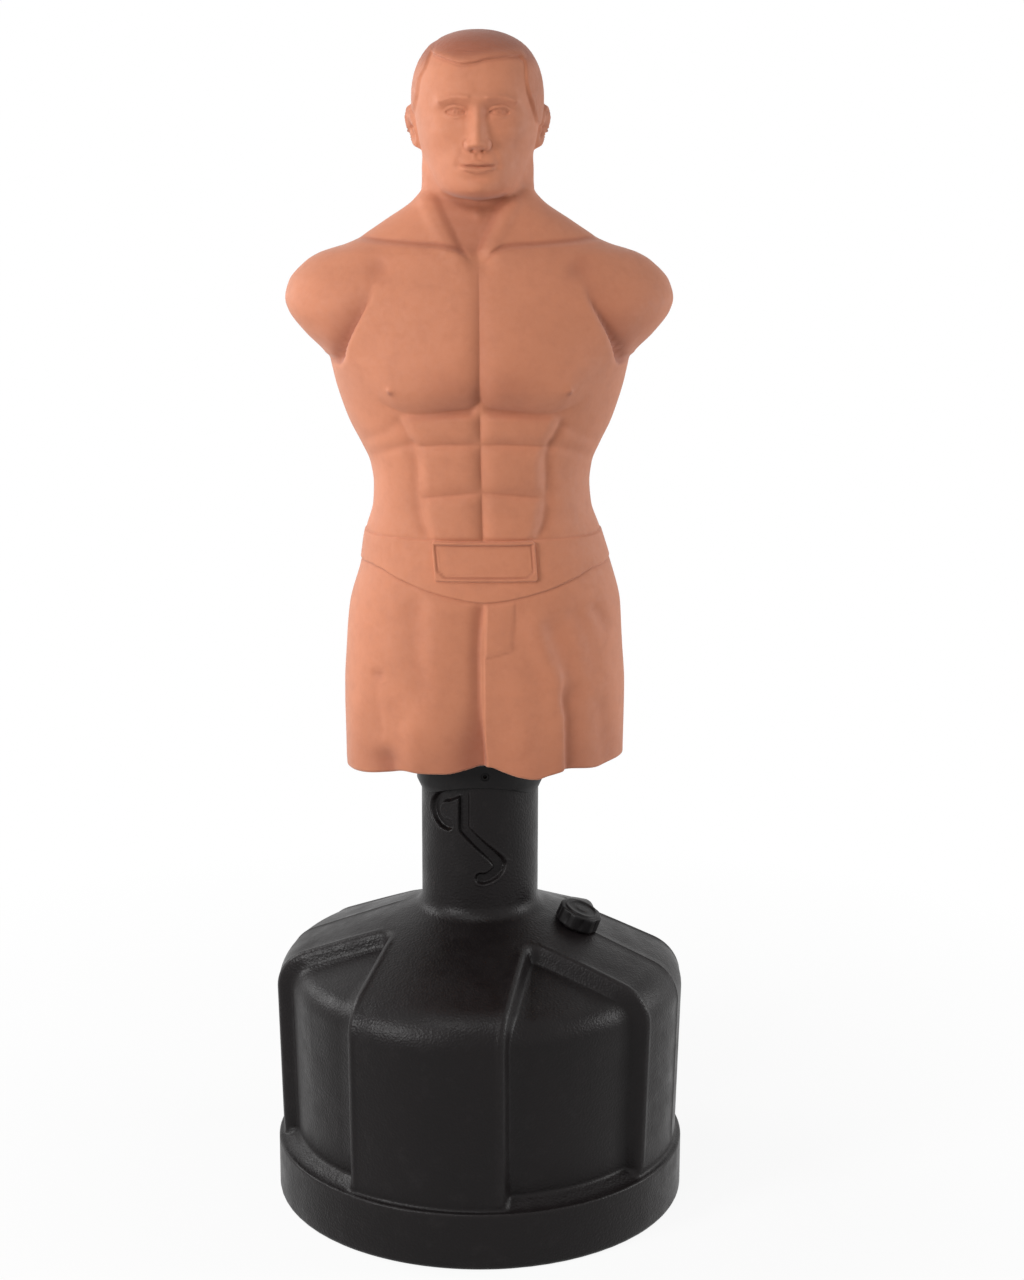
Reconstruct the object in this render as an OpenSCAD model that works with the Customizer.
// Body opponent mannequin: a soft moulded figure that stands on a ballast tank.
// The tank and its column are one hollow moulding. Pins in the figure's collar ride in a
// hooked track on the front and the back of the column, which sets the height.
// Millimetres, +Z up, floor at Z = 0, the figure faces -Y.

/* [Base tank] */
// Width of the tank across its foot band
base_d = 610; // [560:1:680]
// Height of the foot band
band_h = 86; // [60:1:110]
// Draft of the tank wall, in degrees
wall_draft = 1.5; // [0.5:0.5:4]
// Step of the tank wall inside the foot band
wall_step = 3; // [1:0.5:6]
// Height of the centre of the rounded shoulder
shoulder_h = 320; // [290:1:340]
// Radius of the rounded shoulder
shoulder_r = 60; // [50:1:72]
// Slope of the dome, in degrees
dome_slope = 22; // [17:1:25]
// Wall of the moulding
tank_wall = 6; // [4:0.5:8]
// Radius of the lower edge
foot_edge_r = 8; // [4:1:12]
// Radius of the upper edge of the foot band
band_edge_r = 4; // [1:0.5:5]
// Width of each raised arm of the cross
arm_w = 224; // [200:1:250]
// Depth of the recess between two arms
recess_t = 20; // [10:1:28]
// Radius of the inner corner of a recess
recess_r = 24; // [12:1:40]
// Turn of the base under the figure, in degrees
base_turn = -16; // [-40:1:40]
// Level of the ballast water
water_h = 340; // [150:1:350]
// Room between the ballast water and the wall
water_gap = 0.3; // [0.2:0.1:1]

/* [Column and track] */
// Diameter of the column
column_d = 172; // [168:1:176]
// Height of the top of the column
column_top = 1050; // [1000:1:1100]
// Bevel of the top of the column
column_bevel = 8; // [3:1:15]
// Radius of the blend between the column and the dome
column_blend = 24; // [12:1:40]
// Depth of the track
track_t = 7.5; // [5:0.5:9]
// Room beside a pin in the track
pin_play = 1.5; // [1.2:0.1:2]
// Height from one seat to the next
seat_step = 78; // [76:1:84]
// Height of the seat that holds the pins
seat_h = 662; // [645:1:680]
// Angle of the right-hand seats from the middle of the track
seat_angle = 20.5; // [19:0.5:22]
// Radius of the middle line of a left-hand hook
hook_r = 22; // [21:1:24]
// Wall between a left-hand hook and the middle of the track
hook_wall = 10; // [8:0.5:12]
// Rise of a left-hand hook's upper leg towards the middle of the track
hook_lift = 12; // [8:1:14]
// Width that the lowest hook swings out beyond its seat
low_hook_w = 21.5; // [18:0.5:24]
// Height of the lowest hook's bend above its seat
low_hook_h = 24; // [20:1:28]
// Extra radius of the pockets at the turns of the hooks
pocket_play = 0.8; // [0.4:0.1:1.5]
// Left-hand hooks above the seat in use
hooks_above = 3; // [1:1:3]

/* [Fill cap] */
// Distance of the fill port from the column's axis
port_at = 147; // [140:1:175]
// Outer diameter of the port's neck
port_d = 46; // [38:1:50]
// Height of the port's neck above the dome
port_h = 16; // [12:1:20]
// Wall of the port's neck
port_wall = 4; // [3:0.5:6]
// Width of the cap over its flats
cap_d = 62; // [58:1:68]
// Number of flats round the cap
cap_flats = 8; // [6:1:10]
// Thickness of the cap's top
cap_top = 5; // [3:0.5:8]
// Running room between the cap and the neck
cap_play = 0.8; // [0.5:0.1:1.2]
// Room under the cap's skirt
cap_skirt_gap = 2; // [1:0.5:4]
// Width of the raised rim on the cap's top
cap_rim_w = 5; // [3:0.5:8]
// Height of the raised rim on the cap's top
cap_rim_h = 2.5; // [1:0.5:4]
// Thickness of the gasket
gasket_t = 3; // [2:0.5:4]

/* [Collar and sleeve] */
// Outer diameter of the collar
collar_d = 186; // [184:1:194]
// Depth of the collar below the pins
collar_drop = 35; // [26:1:40]
// Height of the collar's flange above the pins
flange_rise = 25; // [18:1:35]
// Thickness of the two flanges
flange_t = 8; // [6:0.5:12]
// Diameter of the collar's flange
flange_d = 236; // [230:1:238]
// Width of the bevel of the collar's lower edge
collar_bevel = 5; // [1:0.5:5.5]
// Height of the bevel of the collar's lower edge
collar_bevel_h = 12; // [6:1:16]
// Rise of the arch in the collar's lower edge at the front and back
arch_rise = 18; // [10:1:20]
// Width of the arch in the collar's lower edge
arch_w = 150; // [130:1:160]
// Room between the collar and the column
collar_play = 0.7; // [0.5:0.1:1.5]
// Diameter of the pins
pin_d = 12; // [10:1:13]
// Room between a pin's tip and the floor of the track
pin_tip_gap = 1.1; // [0.6:0.1:2]
// Press clearance of a pin in the collar
pin_fit = 0.1; // [0.05:0.05:0.3]
// Wall of the guide bush
bush_wall = 3.2; // [2.4:0.1:4]
// Length of the guide bush
bush_len = 39; // [25:1:60]
// Running room of the guide bush, inside and outside
bush_play = 0.4; // [0.3:0.1:0.6]
// Wall of the sleeve
sleeve_wall = 6.5; // [5.5:0.1:8]
// Room between the sleeve and the column
sleeve_play = 2; // [1:0.1:2.5]
// Room between the column and the sleeve's lid at the lowest seat
sleeve_spare = 30; // [15:1:50]
// Thickness of the sleeve's lid
lid_t = 6; // [4:0.5:10]
// Depth of the lid's spigot
lid_spigot = 12; // [6:1:20]
// Number of collar screws
screw_count = 6; // [4:1:8]
// Shank diameter of a collar screw
screw_d = 6; // [4:0.5:6]
// Head diameter of a collar screw
screw_head_d = 12; // [9:0.5:13]
// Height of a collar screw's head
screw_head_h = 4; // [3:0.5:5]
// Clearance of fixed pieces
fit_gap = 0.3; // [0.2:0.1:0.5]

/* [Figure heights] */
// Height of the hem above the pins
hem_above_pin = 6; // [0:1:15]
// Height of the hips above the hem
hip_up = 115; // [100:1:130]
// Height of the belt's upper edge above the hem
belt_up = 342; // [336:1:350]
// Height of the waist above the hem
waist_up = 410; // [404:1:418]
// Height of the lower edge of the chest above the hem
chest_up = 524; // [516:1:530]
// Height of the widest point of the shoulders above the hem
shoulder_up = 674; // [668:1:680]
// Height of the narrowest point of the neck above the hem
neck_up = 830; // [824:1:836]
// Height of the chin above the hem
chin_up = 808; // [802:1:812]
// Height of the widest point of the head above the hem
head_up = 942; // [936:1:948]
// Height of the crown above the hem
crown_up = 1037; // [1025:1:1050]

/* [Figure widths] */
// Width of the shorts at the hem
hem_w = 404; // [385:1:425]
// Width of the hips
hip_w = 408; // [390:1:430]
// Width at the belt
belt_w = 342; // [330:1:355]
// Width of the waist
waist_w = 310; // [296:1:325]
// Width of the chest under the arms
chest_w = 410; // [390:1:425]
// Width over the shoulders
shoulder_w = 547; // [520:1:570]
// Width of the neck
neck_w = 158; // [146:1:170]
// Width of the head
head_w = 184; // [172:1:196]

/* [Figure depths] */
// Front of the hips from the column's axis
hip_front = 140; // [137:1:152]
// Back of the hips from the column's axis
hip_back = 150; // [142:1:162]
// Front of the waist from the column's axis
waist_front = 118; // [116:1:128]
// Back of the waist from the column's axis
waist_back = 117; // [115:1:128]
// Front of the chest from the column's axis
chest_front = 130; // [122:1:142]
// Back of the chest from the column's axis
chest_back = 138; // [130:1:150]
// Front of the neck from the column's axis
neck_front = 57; // [50:1:65]
// Back of the neck from the column's axis
neck_back = 86; // [78:1:94]
// Front of the face from the column's axis
face_front = 95; // [89:1:102]
// Back of the head from the column's axis
head_back = 96; // [90:1:104]
// Thickness of the skin
skin_t = 12; // [11:0.5:13]
// Depth of the belt's raised band
belt_rise = 4; // [2:0.5:6]
// Width of the plaque on the belt
plaque_w = 146; // [125:1:160]
// Height of the plaque on the belt
plaque_h = 57; // [48:1:60]
// Rise of the plaque over the belt
plaque_rise = 5; // [3:0.5:7]

/* [Hidden] */
$fn = 96;

base_r = base_d / 2;
column_r = column_d / 2;
arc_x = base_r - wall_step - shoulder_r;
track_floor_r = column_r - track_t;
track_w = pin_d + 2 * pin_play;
reach = base_d;

pin_tip_r = track_floor_r + pin_tip_gap;
lane_x = (pin_tip_r + column_r) / 2 * sin(seat_angle);
hook_x = -(track_w + hook_wall);
pin_turn = base_turn + seat_angle;

port_r = port_d / 2;
gasket_z = port_h + fit_gap;
cap_ceiling = gasket_z + gasket_t + fit_gap;
cap_h = cap_ceiling + cap_top;

collar_bore_r = column_r + collar_play;
collar_z = seat_h - collar_drop;
arch_r = (arch_w * arch_w / 4 + arch_rise * arch_rise) / (2 * arch_rise);
flange_z = seat_h + flange_rise;
sleeve_z = flange_z + flange_t;
bush_r = column_r + bush_play;
bush_z = sleeve_z + fit_gap;
bush_seat_r = bush_r + bush_wall + bush_play;
sleeve_bore_r = column_r + sleeve_play;
sleeve_r = sleeve_bore_r + sleeve_wall;
sleeve_top = column_top + 2 * seat_step + sleeve_spare;
screw_at = (sleeve_r + flange_d / 2) / 2;

hem_z = seat_h + hem_above_pin;
foam_z = sleeve_z + flange_t + fit_gap;

// Height of the dome's surface at a distance from the axis
function dome_z(r, inset = 0) =
  shoulder_h + (shoulder_r - inset) * cos(dome_slope)
  + (arc_x + (shoulder_r - inset) * sin(dome_slope) - r) * tan(dome_slope);

// Distance of the tank's wall from the axis at a height
function wall_x(z, inset = 0) =
  arc_x + (shoulder_r - inset) / cos(wall_draft) - (shoulder_h - z) * tan(wall_draft);

// Half section of the tank above a level, moved inwards by inset
module tank_section(inset, low) {
  r = shoulder_r - inset;
  polygon([
    [0, low],
    [wall_x(low, inset), low],
    [arc_x + r * cos(wall_draft), shoulder_h - r * sin(wall_draft)],
    [arc_x + r * sin(dome_slope), shoulder_h + r * cos(dome_slope)],
    [0, dome_z(0, inset)]
  ]);
  translate([arc_x, shoulder_h]) circle(r);
}

module band_section() {
  polygon([
    [0, 0],
    [base_r - foot_edge_r, 0],
    [base_r, foot_edge_r],
    [base_r, band_h - band_edge_r],
    [base_r - band_edge_r, band_h],
    [0, band_h]
  ]);
  translate([base_r - foot_edge_r, foot_edge_r]) circle(foot_edge_r);
  translate([base_r - band_edge_r, band_h - band_edge_r]) circle(band_edge_r);
}

// Hollow blend where the dome rises into the column
module blend_section() {
  x = column_r + column_blend;
  z = dome_z(x) + column_blend / cos(dome_slope);
  foot = [x - column_blend * sin(dome_slope), z - column_blend * cos(dome_slope)];
  difference() {
    polygon([[column_r - 5, dome_z(column_r) - 5], [foot[0], foot[1] - 5], foot, [column_r, z], [column_r - 5, z]]);
    translate([x, z]) circle(column_blend);
  }
}

module column_section() {
  polygon([
    [0, dome_z(column_r) - 5],
    [column_r, dome_z(column_r) - 5],
    [column_r, column_top - column_bevel],
    [column_r - column_bevel, column_top],
    [0, column_top]
  ]);
}

// The four recesses between the arms of the cross, grown by the wall for the hollow inside
module corner_recesses(grow) {
  edge = arm_w / 2 - grow;
  round_r = recess_r;
  difference() {
    for (k = [0:3])
      rotate([0, 0, 90 * k])
        translate([0, 0, band_h - grow])
          linear_extrude(reach) {
            translate([edge + round_r, edge]) square(reach);
            translate([edge, edge + round_r]) square(reach);
            translate([edge + round_r, edge + round_r]) circle(round_r);
          }
    rotate_extrude() tank_section(recess_t + grow, band_h - grow - 1);
  }
}

// The space inside the moulding
module tank_hollow(wall) {
  difference() {
    rotate_extrude() tank_section(wall, wall);
    corner_recesses(wall);
  }
}

// A straight leg of the track from a to b, with square ends
module leg(a, b) {
  d = b - a;
  translate(a) rotate(atan2(d[1], d[0])) translate([0, -track_w / 2]) square([norm(d), track_w]);
}

// A straight run of the track from a to b, with round ends
module run(a, b) {
  translate(a) circle(d = track_w);
  leg(a, b);
  translate(b) circle(d = track_w);
}

// A ring of the track, cut down to the part that the children cover
module bend(r) {
  intersection() {
    difference() {
      circle(r + track_w / 2);
      circle(r - track_w / 2);
    }
    children();
  }
}

module left_hook(seat) {
  translate([hook_x, seat + hook_r]) bend(hook_r) translate([-reach, -reach / 2]) square(reach);
  translate([hook_x, seat]) circle(d = track_w);
  translate([hook_x, seat + 2 * hook_r]) circle(track_w / 2 + pocket_play);
  leg([hook_x, seat + 2 * hook_r], [0, seat + 2 * hook_r + hook_lift]);
}

// The lowest hook, reached from the middle of the track by a slanted leg
module low_hook(seat) {
  bend_at = [lane_x + low_hook_w, seat + low_hook_h];
  leg([0, elbow_z(seat)], bend_at);
  leg(bend_at, [lane_x, seat]);
  for (p = [[0, elbow_z(seat)], bend_at, [lane_x, seat]])
    translate(p) circle(track_w / 2 + pocket_play);
}

// Height at which the middle of the track turns towards the lowest hook
function elbow_z(seat) = seat + low_hook_h + low_hook_w + lane_x;

// The outline of the track, seen from the front of the column
module track_outline() {
  low_seat = seat_h - 2 * seat_step;
  leg([0, elbow_z(low_seat)], [0, column_top + track_w]);
  run([lane_x, seat_h], [lane_x, column_top + track_w]);
  leg([0, seat_h], [lane_x, seat_h]);
  low_hook(low_seat);
  left_hook(seat_h - seat_step);
  for (k = [1:hooks_above]) left_hook(seat_h + k * seat_step);
}

module track_cut() {
  difference() {
    for (side = [0, 180])
      rotate([0, 0, side]) translate([0, -track_floor_r / 3, 0])
        rotate([90, 0, 0]) linear_extrude(column_r) track_outline();
    cylinder(h = column_top + reach, r = track_floor_r);
  }
}

// Puts its children on the fill port, with Z along the port's axis
module at_port() {
  rotate([0, 0, base_turn])
    translate([port_at, 0, dome_z(port_at)])
      rotate([0, dome_slope, 0]) children();
}

module base_tank() {
  color([0.07, 0.07, 0.075]) {
    difference() {
      union() {
        rotate([0, 0, base_turn]) difference() {
          rotate_extrude() {
            tank_section(0, band_h - 1);
            band_section();
            blend_section();
            column_section();
          }
          corner_recesses(0);
          track_cut();
        }
        at_port() translate([0, 0, -tank_wall / 2]) cylinder(h = tank_wall / 2 + port_h, d = port_d);
      }
      rotate([0, 0, base_turn]) {
        tank_hollow(tank_wall);
        translate([0, 0, shoulder_h])
          cylinder(h = column_top - tank_wall - shoulder_h, r = track_floor_r - tank_wall);
      }
      at_port() translate([0, 0, -4 * tank_wall]) cylinder(h = 4 * tank_wall + port_h + 1, r = port_r - port_wall);
    }
  }
}

module ballast_water() {
  color([0.55, 0.7, 0.78])
    rotate([0, 0, base_turn])
      intersection() {
        tank_hollow(tank_wall + water_gap);
        cylinder(h = water_h, d = reach);
      }
}

module cap_gasket() {
  color([0.12, 0.12, 0.12])
    at_port() translate([0, 0, gasket_z])
      difference() {
        cylinder(h = gasket_t, r = port_r);
        translate([0, 0, -1]) cylinder(h = gasket_t + 2, r = port_r - port_wall);
      }
}

module fill_cap() {
  color([0.08, 0.08, 0.085])
    at_port() difference() {
      union() {
        translate([0, 0, cap_skirt_gap])
          rotate([0, 0, 180 / cap_flats])
            cylinder(h = cap_h - cap_skirt_gap, d = cap_d / cos(180 / cap_flats), $fn = cap_flats);
        translate([0, 0, cap_h - 1]) cylinder(h = cap_rim_h + 1, d = cap_d - 2 * cap_rim_w);
      }
      translate([0, 0, cap_skirt_gap - 1])
        cylinder(h = cap_ceiling - cap_skirt_gap + 1, r = port_r + cap_play);
      translate([0, 0, cap_h]) cylinder(h = cap_rim_h + 1, d = cap_d - 4 * cap_rim_w);
    }
}

module guide_bush() {
  color([0.82, 0.82, 0.8])
    translate([0, 0, bush_z])
      difference() {
        cylinder(h = bush_len, r = bush_r + bush_wall);
        translate([0, 0, -1]) cylinder(h = bush_len + 2, r = bush_r);
      }
}

module pin_collar() {
  color([0.06, 0.06, 0.06])
    difference() {
      rotate_extrude()
        polygon([
          [collar_bore_r, collar_z],
          [collar_d / 2 - collar_bevel, collar_z],
          [collar_d / 2, collar_z + collar_bevel_h],
          [collar_d / 2, flange_z],
          [flange_d / 2, flange_z],
          [flange_d / 2, sleeve_z],
          [collar_bore_r, sleeve_z]
        ]);
      translate([0, 0, collar_z + arch_rise - arch_r])
        rotate([90, 0, 0]) cylinder(h = flange_d, r = arch_r, center = true);
      at_pins() translate([0, 0, -pin_fit]) cylinder(h = collar_d, d = pin_d + 2 * pin_fit);
      at_screws() translate([0, 0, -1]) cylinder(h = flange_t + 2, d = screw_d + 2 * fit_gap);
    }
}

// Puts its children on the two pin axes, with Z pointing outwards from the tip of the pin
module at_pins() {
  for (side = [0, 180])
    rotate([0, 0, pin_turn + side])
      translate([0, -pin_tip_r, seat_h]) rotate([90, 0, 0]) children();
}

// Puts its children on the screw axes, at the lower face of the collar's flange
module at_screws() {
  for (k = [0:screw_count - 1])
    rotate([0, 0, (k + 0.5) * 360 / screw_count]) translate([screw_at, 0, flange_z]) children();
}

module guide_pins() {
  length = collar_d / 2 - pin_tip_r - 1;
  color([0.1, 0.1, 0.1])
    at_pins() difference() {
      cylinder(h = length, d = pin_d);
      translate([0, 0, length / 2]) cylinder(h = length, d = pin_d / 2, $fn = 6);
    }
}

module collar_screws() {
  color([0.6, 0.6, 0.62])
    at_screws() {
      translate([0, 0, -screw_head_h]) difference() {
        cylinder(h = screw_head_h, d = screw_head_d);
        translate([0, 0, -1]) cylinder(h = screw_head_h / 2 + 1, d = screw_d, $fn = 6);
      }
      translate([0, 0, -screw_head_h / 4]) cylinder(h = screw_head_h / 4 + 2 * flange_t - 2, d = screw_d);
    }
}

module core_sleeve() {
  color([0.7, 0.7, 0.68])
    difference() {
      union() {
        translate([0, 0, sleeve_z]) cylinder(h = flange_t, d = flange_d);
        translate([0, 0, sleeve_z]) cylinder(h = sleeve_top - sleeve_z, r = sleeve_r);
      }
      translate([0, 0, sleeve_z - 1]) cylinder(h = sleeve_top - sleeve_z + 2, r = sleeve_bore_r);
      translate([0, 0, sleeve_z - 1]) cylinder(h = bush_len + 2 * fit_gap + 1, r = bush_seat_r);
      at_screws() translate([0, 0, flange_t - 1]) cylinder(h = flange_t, d = screw_d + fit_gap);
    }
}

module sleeve_lid() {
  color([0.62, 0.62, 0.6]) {
    translate([0, 0, sleeve_top]) cylinder(h = lid_t, r = sleeve_r);
    translate([0, 0, sleeve_top - lid_spigot])
      difference() {
        cylinder(h = lid_spigot + 1, r = sleeve_bore_r - fit_gap);
        translate([0, 0, -1]) cylinder(h = lid_spigot + 1, r = sleeve_bore_r - lid_t);
      }
  }
}

// Sections of the body: height above the hem, half width, front, back and squareness
body_sections = [
  [0, hem_w / 2, hip_front - 3, hip_back - 6, 2.5],
  [hip_up, hip_w / 2, hip_front, hip_back, 2.5],
  [hip_up + 60, hip_w / 2 - 3.5, hip_front - 1, hip_back + 2, 2.5],
  [belt_up - 107, belt_w / 2 + 25, hip_front - 8, hip_back - 8, 2.45],
  [belt_up - 48, belt_w / 2 + 10, waist_front + 8, waist_back + 16, 2.4],
  [belt_up, belt_w / 2, waist_front + 2, waist_back + 5, 2.35],
  [waist_up - 28, waist_w / 2 + 2, waist_front, waist_back + 1, 2.3],
  [waist_up, waist_w / 2, waist_front, waist_back, 2.3],
  [waist_up + 29, waist_w / 2 + 4, waist_front + 1, waist_back + 2, 2.3],
  [waist_up + 58, waist_w / 2 + 17, waist_front + 3, waist_back + 5, 2.3],
  [chest_up - 27, chest_w / 2 - 19, chest_front - 7, chest_back - 12, 2.3],
  [chest_up, chest_w / 2 - 9, chest_front - 4, chest_back - 9, 2.3],
  [chest_up + 30, chest_w / 2, chest_front, chest_back - 3, 2.25],
  [chest_up + 58, chest_w / 2 + 7, chest_front, chest_back, 2.2],
  [shoulder_up - 78, shoulder_w / 2 - 52, chest_front, chest_back + 2, 2.1],
  [shoulder_up - 49, shoulder_w / 2 - 26, chest_front - 3, chest_back + 4, 2.05],
  [shoulder_up - 21, shoulder_w / 2 - 5, chest_front - 8, chest_back + 4, 2],
  [shoulder_up, shoulder_w / 2, chest_front - 13, chest_back + 2, 2],
  [shoulder_up + 21, shoulder_w / 2 - 5, chest_front - 21, chest_back - 2, 2],
  [shoulder_up + 48, shoulder_w / 2 - 30, chest_front - 36, chest_back - 9, 2],
  [shoulder_up + 62, shoulder_w / 2 - 54, chest_front - 44, chest_back - 15, 2],
  [shoulder_up + 76, neck_w / 2 + 98, neck_front + 21, neck_back + 30, 2],
  [shoulder_up + 104, neck_w / 2 + 53, neck_front + 11, neck_back + 19, 2],
  [neck_up - 24, neck_w / 2 + 12, neck_front + 4, neck_back + 8, 2],
  [neck_up, neck_w / 2, neck_front, neck_back, 2],
  [neck_up + 18, neck_w / 2 - 1, neck_front - 2, neck_back - 2, 2],
  [neck_up + 54, neck_w / 2 - 8, neck_front - 11, neck_back - 8, 2],
  [neck_up + 106, neck_w / 2 - 34, neck_front - 29, neck_back - 30, 2]
];

// Sections of the head, in the same form
head_sections = [
  [chin_up - 3, head_w / 2 - 77, face_front - 38, head_back - 72, 2],
  [chin_up + 4, head_w / 2 - 48, face_front - 12, head_back - 56, 2.1],
  [chin_up + 13, head_w / 2 - 36, face_front - 4, head_back - 40, 2.2],
  [chin_up + 28, head_w / 2 - 28, face_front, head_back - 26, 2.25],
  [chin_up + 50, head_w / 2 - 19, face_front, head_back - 14, 2.25],
  [chin_up + 75, head_w / 2 - 10, face_front - 2, head_back - 7, 2.2],
  [chin_up + 102, head_w / 2 - 4, face_front - 2, head_back - 3, 2.2],
  [head_up, head_w / 2, face_front, head_back, 2.2]
];

// Swellings and hollows of the front: distance from the middle, height, reach across, reach up, rise
front_forms = [
  [92, chest_up + 55, 72, 48, 11],
  [0, chest_up + 66, 12, 66, -7],
  [42, waist_up + 25, 39, 24, 3],
  [42, waist_up - 45, 39, 22, 3],
  [42, waist_up + 90, 39, 18, 3],
  [188, shoulder_up - 5, 50, 57, 8],
  [0, shoulder_up + 60, 15, 13, -7],
  [92, hip_up - 30, 65, 75, 4],
  [0, chin_up + 90, 11, 18, 11],
  [0, chin_up + 74, 13, 9, 12],
  [30, chin_up + 117, 13, 8, -8],
  [30, chin_up + 116, 10, 5, 4],
  [34, chin_up + 133, 23, 7, 4],
  [42, chin_up + 84, 18, 20, 3],
  [0, chin_up + 48, 21, 6, 4.5],
  [0, chin_up + 41, 18, 3.5, -3],
  [0, chin_up + 16, 18, 12, 4.5]
];

// Creases and ridges of the front: two ends, each across and up, then the reach and the rise
front_lines = [
  [31, chest_up + 2, 129, chest_up + 8, 11, -8],
  [129, chest_up + 8, 168, chest_up + 55, 15, -6],
  [158, shoulder_up + 57, 188, shoulder_up - 9, 12, -8],
  [188, shoulder_up - 9, 197, shoulder_up - 83, 15, -10],
  [20, shoulder_up + 70, 155, shoulder_up + 80, 10, 6],
  [0, belt_up + 20, 0, chest_up - 10, 8, -5],
  [4, waist_up + 60, 85, waist_up + 66, 8, -5],
  [4, waist_up - 16, 81, waist_up - 11, 8, -5],
  [85, belt_up + 20, 92, waist_up + 40, 11, -6],
  [92, waist_up + 40, 114, chest_up - 10, 11, -5],
  [0, 0, 0, belt_up - 100, 11, -8],
  [103, 12, 114, hip_up + 60, 18, -6],
  [138, hip_up + 20, 110, belt_up - 92, 15, -4],
  [31, shoulder_up + 77, 57, neck_up, 13, 4]
];

back_forms = [
  [90, shoulder_up - 30, 52, 61, 8],
  [81, hip_up + 40, 61, 70, 8],
  [48, waist_up, 28, 85, 4],
  [188, shoulder_up - 5, 50, 57, 7]
];

back_lines = [
  [0, belt_up + 20, 0, shoulder_up + 55, 15, -7],
  [0, 0, 0, belt_up - 92, 12, -8],
  [158, shoulder_up + 46, 191, shoulder_up - 83, 15, -8],
  [99, 12, 110, hip_up - 20, 18, -5]
];

function clamp01(v) = max(0, min(1, v));
function smooth(v) = let (s = clamp01(v)) s * s * (3 - 2 * s);
function hump(v) = exp(-v * v);
function soft_max(a, b, k) = max(a, b) + k * ln(1 + exp(-abs(a - b) / k));

// Slope of column c at row i, flat at a peak or a dip
function slope_at(t, c, i) =
  i == 0 || i == len(t) - 1 ? 0 :
  let (a = (t[i][c] - t[i - 1][c]) / (t[i][0] - t[i - 1][0]))
  let (b = (t[i + 1][c] - t[i][c]) / (t[i + 1][0] - t[i][0]))
  a * b <= 0 ? 0 : 2 * a * b / (a + b);

// Column c of a table of sections at height h, as a smooth curve through its rows
function section_value(t, c, h) =
  h <= t[0][0] ? t[0][c] :
  h >= t[len(t) - 1][0] ? t[len(t) - 1][c] :
  let (i = max([for (k = [0:len(t) - 2]) if (t[k][0] <= h) k]))
  let (d = t[i + 1][0] - t[i][0])
  let (u = (h - t[i][0]) / d)
  let (m = slope_at(t, c, i) * d)
  let (n = slope_at(t, c, i + 1) * d)
  (2 * u * u * u - 3 * u * u + 1) * t[i][c] + (u * u * u - 2 * u * u + u) * m
  + (3 * u * u - 2 * u * u * u) * t[i + 1][c] + (u * u * u - u * u) * n;

function section_at(t, h) = [for (c = [1:4]) section_value(t, c, h)];

// Distance from the axis to the rim of a section in a direction
function rim(s, turn) =
  let (depth = sin(turn) < 0 ? s[1] : s[2])
  pow(pow(abs(cos(turn)) / s[0], s[3]) + pow(abs(sin(turn)) / depth, s[3]), -1 / s[3]);

// Share of the head's full width that is left towards the crown
function crown_share(h) =
  h <= head_up ? 1 :
  let (k = clamp01((h - head_up) / (crown_up - head_up)))
  pow(max(1 - pow(k, 2.3), 0.0001), 1 / 2.3);

// Distance of the plain figure from the axis, before its relief
function plain_rim(body, head, h, turn) =
  let (trunk = h > head_up ? 1 : rim(body, turn))
  let (skull = h < chin_up - 3 ? 1 : rim(head, turn) * crown_share(h))
  soft_max(trunk, skull, 3);

function line_gap(x, h, l) =
  let (p = [l[0], l[1]], d = [l[2] - l[0], l[3] - l[1]])
  let (u = clamp01(([x, h] - p) * d / (d * d)))
  norm([x, h] - p - u * d);

function relief(forms, lines, x, h) =
  [for (f = forms) f[4] * hump((x - f[0]) / f[2]) * hump((h - f[1]) / f[3])] * [for (f = forms) 1]
  + [for (l = lines) l[5] * hump(line_gap(x, h, l) / l[4])] * [for (l = lines) 1];

// Lower edge of the belt, which dips in a point at the front
function belt_low(x, y) = belt_up - 43 - (y < 0 ? 39 * smooth(1 - abs(x) / 138) : 0);

function belt_relief(x, y, h) =
  belt_rise * smooth((h - belt_low(x, y)) / 8) * smooth((belt_up - h) / 6 + 1);

function plaque_relief(x, y, h) =
  y > 0 ? 0 :
  let (mid = belt_up - plaque_h / 2)
  plaque_rise * smooth((plaque_w / 2 - abs(x)) / 6 + 0.5) * smooth((plaque_h / 2 - abs(h - mid)) / 6 + 0.5);

// The hair stands over the face from a line that drops behind the ears
function hair_line(y) = chin_up + 173 - 81 * smooth((y + 55) / 53) - 51 * smooth((y - 16) / 44);
function hair_relief(y, h) = 4.5 * smooth((h - hair_line(y)) / 9);

function ear_relief(x, y, h) = 14 * hump((y - 7) / 15) * hump((h - chin_up - 104) / 27) * smooth((abs(x) - 54) / 18);

function figure_rim(body, head, h, turn) =
  let (r = plain_rim(body, head, h, turn))
  let (x = r * cos(turn), y = r * sin(turn))
  let (front = smooth((20 - y) / 60), back = smooth((y + 10) / 60))
  r + front * relief(front_forms, front_lines, abs(x), h) + back * relief(back_forms, back_lines, abs(x), h)
  + belt_relief(x, y, h) + plaque_relief(x, y, h)
  + (h > chin_up ? hair_relief(y, h) + ear_relief(x, y, h) : 0);

sectors = 48;
turns = [for (i = [0:sectors - 1]) -90 + i * 360 / sectors - 5 * sin(4 * i * 360 / sectors)];

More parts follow.
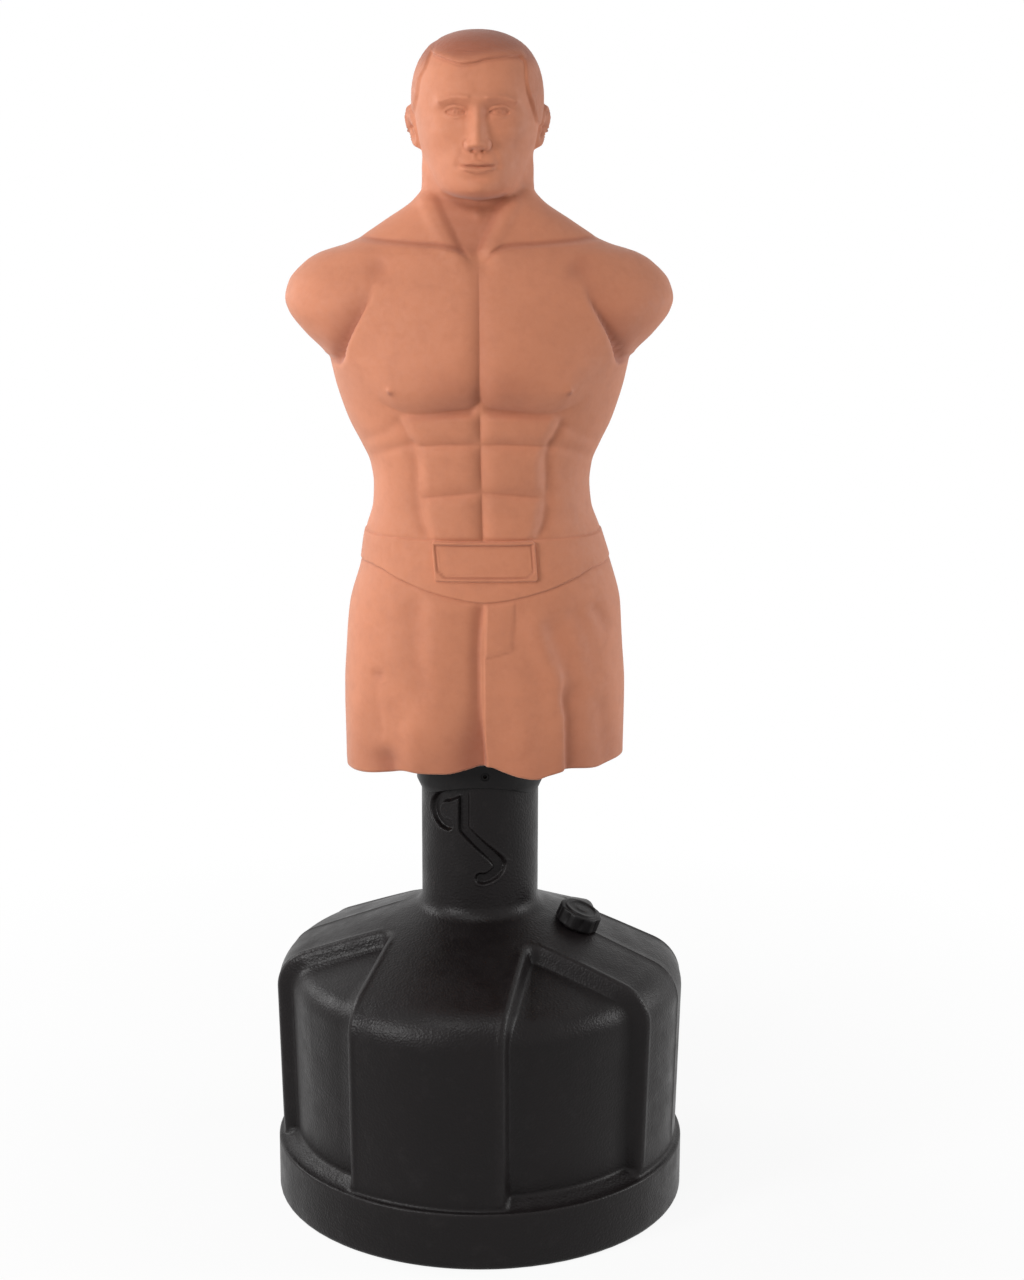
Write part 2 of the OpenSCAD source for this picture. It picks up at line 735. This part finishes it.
// Heights of the rings from the hem to just under the crown
crown_rings = 9;
ring_heights = concat(
  [for (k = [0:10]) (belt_up - 94) * k / 11],
  [for (k = [0:11]) belt_up - 94 + 106 * k / 12],
  [for (k = [0:25]) belt_up + 12 + (shoulder_up - belt_up - 12) * k / 26],
  [for (k = [0:12]) shoulder_up + (chin_up - 3 - shoulder_up) * k / 13],
  [for (k = [0:17]) chin_up - 3 + (head_up - chin_up + 3) * k / 18],
  [for (k = [0:crown_rings - 1]) head_up + (crown_up - head_up) * sin(86 * k / (crown_rings - 1))]
);
inner_heights = concat(
  [0, 60, hip_up, hip_up + 80, belt_up - 60, belt_up, waist_up, chest_up - 30, chest_up + 40],
  [shoulder_up - 78, shoulder_up - 36, shoulder_up, shoulder_up + 46, shoulder_up + 76, neck_up - 24],
  [neck_up, chin_up + 53, head_up - 36, head_up, head_up + 40, head_up + 65]
);

// One ring of points round the figure
function outer_ring(h) =
  let (body = section_at(body_sections, h), head = section_at(head_sections, h))
  [for (t = turns) let (r = figure_rim(body, head, h, t)) [r * cos(t), r * sin(t), hem_z + h]];

function inner_ring(h, inset, z) =
  let (body = section_at(body_sections, h), head = section_at(head_sections, h))
  [for (t = turns) let (r = plain_rim(body, head, h, t) - inset) [r * cos(t), r * sin(t), z]];

function bore_ring(r, z) =
  let (out = r / cos(360 / sectors))
  [for (t = turns) [out * cos(t), out * sin(t), z]];

function flat(rows) = [for (r = rows) for (p = r) p];

// Triangles of a tube of rings, closed by a point at the end of the list
function tube_faces(rings) = concat(
  [for (k = [0:rings - 2]) for (i = [0:sectors - 1])
    let (a = k * sectors + i, b = k * sectors + (i + 1) % sectors)
    each [[a, a + sectors, b], [b, a + sectors, b + sectors]]],
  [for (i = [0:sectors - 1]) [(rings - 1) * sectors + i, rings * sectors, (rings - 1) * sectors + (i + 1) % sectors]]
);

// A bowl turned upside down: outer rings with their top point, then inner rings with theirs
module shell(outer, outer_top, inner, inner_top) {
  shift = len(outer) * sectors + 1;
  rim_faces = [for (i = [0:sectors - 1])
    let (j = (i + 1) % sectors)
    each [[i, j, shift + i], [j, shift + j, shift + i]]];
  polyhedron(
    points = concat(flat(outer), [outer_top], flat(inner), [inner_top]),
    faces = concat(
      tube_faces(len(outer)),
      [for (f = tube_faces(len(inner))) [f[0] + shift, f[2] + shift, f[1] + shift]],
      rim_faces
    )
  );
}

module figure_skin() {
  color([0.8, 0.54, 0.42])
    shell(
      [for (h = ring_heights) outer_ring(h)], [0, 0, hem_z + crown_up],
      [for (h = inner_heights) inner_ring(h, skin_t, hem_z + h)], [0, 0, hem_z + crown_up - skin_t]
    );
}

module foam_core() {
  low = foam_z - hem_z;
  heights = concat([low], [for (h = inner_heights) if (h > low + 5) h]);
  bore_top = sleeve_top + lid_t + fit_gap;
  color([0.93, 0.86, 0.6])
    shell(
      [for (h = heights) inner_ring(h, skin_t + fit_gap, hem_z + h)], [0, 0, hem_z + crown_up - skin_t - 2 * fit_gap],
      [bore_ring(sleeve_r + fit_gap, foam_z), bore_ring(sleeve_r + fit_gap, bore_top)], [0, 0, bore_top]
    );
}

base_tank();
ballast_water();
cap_gasket();
fill_cap();
guide_bush();
figure_skin();
foam_core();
core_sleeve();
sleeve_lid();
pin_collar();
guide_pins();
collar_screws();
